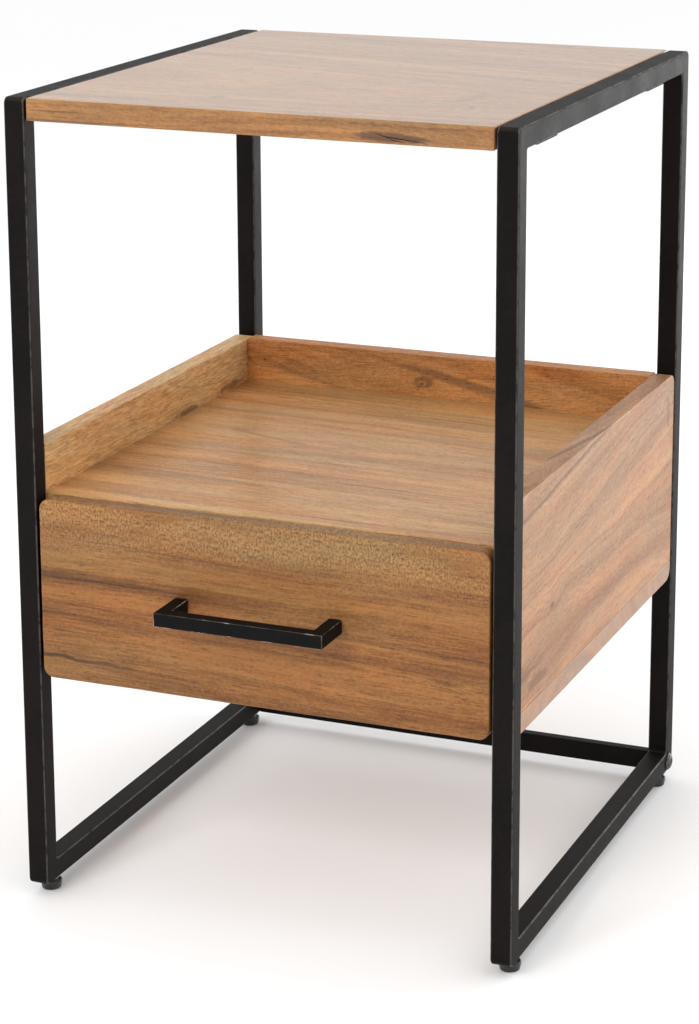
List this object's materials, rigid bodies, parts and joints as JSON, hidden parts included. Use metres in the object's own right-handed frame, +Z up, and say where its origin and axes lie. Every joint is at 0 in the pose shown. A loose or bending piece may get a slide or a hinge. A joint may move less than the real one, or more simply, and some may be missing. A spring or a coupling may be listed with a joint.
{
  "type": "side table with drawer",
  "caption": "Side table: welded square-tube side frames, wooden top, open tray with low walls and one drawer with a bar handle on telescopic slides.",
  "frame": {"origin": "on the floor, at the centre of the whole outline including the handle", "axes": "+Z up, the drawer opens towards -Y, +X to the right when facing the drawer"},
  "size_m": [0.386, 0.436, 0.6],
  "materials": {
    "frame_steel": "satin black powder coat",
    "handle_steel": "satin black powder coat",
    "bolt_steel": "dark burnished",
    "zinc_steel": "zinc plated",
    "slide_steel": "zinc plated",
    "foot_plastic": "matte",
    "wood_top": "satin lacquer",
    "wood_front": "satin lacquer",
    "wood_left_side": "satin lacquer",
    "wood_right_side": "satin lacquer",
    "wood_back": "satin lacquer",
    "wood_tray": "satin lacquer",
    "wood_base": "satin lacquer",
    "drawer_box_wood": "clear lacquer",
    "plywood": "clear lacquer",
    "dowel_wood": "raw"
  },
  "bodies": {
    "frame": {"back_panel": "wood_back", "bottom_board": "wood_base", "carcass_dowels": "dowel_wood", "carcass_screws": "zinc_steel", "cross_bar_bolts": "bolt_steel", "left_bottom_rail": "frame_steel", "left_carcass_tabs": "frame_steel", "left_front_foot_insert": "zinc_steel", "left_front_post": "frame_steel", "left_rear_foot_insert": "zinc_steel", "left_rear_post": "frame_steel", "left_side_panel": "wood_left_side", "left_slide_outer": "slide_steel", "left_top_rail": "frame_steel", "left_top_tabs": "frame_steel", "outer_slide_screws": "zinc_steel", "rear_cross_bar": "frame_steel", "right_bottom_rail": "frame_steel", "right_carcass_tabs": "frame_steel", "right_front_foot_insert": "zinc_steel", "right_front_post": "frame_steel", "right_rear_foot_insert": "zinc_steel", "right_rear_post": "frame_steel", "right_side_panel": "wood_right_side", "right_slide_outer": "slide_steel", "right_top_rail": "frame_steel", "right_top_tabs": "frame_steel", "table_top": "wood_top", "top_screws": "zinc_steel", "tray_floor": "wood_tray"},
    "drawer": {"drawer_front": "wood_front", "drawer_left_side": "drawer_box_wood", "drawer_right_side": "drawer_box_wood", "drawer_inner_front": "drawer_box_wood", "drawer_back": "drawer_box_wood", "drawer_bottom": "plywood", "drawer_front_screws": "zinc_steel", "handle_screws": "zinc_steel", "drawer_handle": "handle_steel", "left_slide_inner": "slide_steel", "right_slide_inner": "slide_steel", "inner_slide_screws": "zinc_steel"},
    "left_slide_run": {"left_slide_middle": "slide_steel"},
    "right_slide_run": {"right_slide_middle": "slide_steel"},
    "left_front_foot": {"left_front_foot_pad": "foot_plastic", "left_front_foot_stem": "zinc_steel"},
    "left_rear_foot": {"left_rear_foot_pad": "foot_plastic", "left_rear_foot_stem": "zinc_steel"},
    "right_front_foot": {"right_front_foot_pad": "foot_plastic", "right_front_foot_stem": "zinc_steel"},
    "right_rear_foot": {"right_rear_foot_pad": "foot_plastic", "right_rear_foot_stem": "zinc_steel"}
  },
  "joints": [
    {"name": "drawer_slide", "type": "slide", "parent": "frame", "child": "drawer", "axis": [0, -1, 0], "range_m": [0, 0.3]},
    {"name": "left_slide_travel", "type": "slide", "parent": "frame", "child": "left_slide_run", "axis": [0, -1, 0], "range_m": [0, 0.15]},
    {"name": "right_slide_travel", "type": "slide", "parent": "frame", "child": "right_slide_run", "axis": [0, -1, 0], "range_m": [0, 0.15]},
    {"name": "left_front_foot_level", "type": "slide", "parent": "frame", "child": "left_front_foot", "axis": [0, 0, -1], "range_m": [0, 0.008]},
    {"name": "left_rear_foot_level", "type": "slide", "parent": "frame", "child": "left_rear_foot", "axis": [0, 0, -1], "range_m": [0, 0.008]},
    {"name": "right_front_foot_level", "type": "slide", "parent": "frame", "child": "right_front_foot", "axis": [0, 0, -1], "range_m": [0, 0.008]},
    {"name": "right_rear_foot_level", "type": "slide", "parent": "frame", "child": "right_rear_foot", "axis": [0, 0, -1], "range_m": [0, 0.008]}
  ],
  "couplings": [
    {"joint": "left_slide_travel", "follows": "drawer_slide", "ratio": 0.5},
    {"joint": "right_slide_travel", "follows": "drawer_slide", "ratio": 0.5}
  ]
}
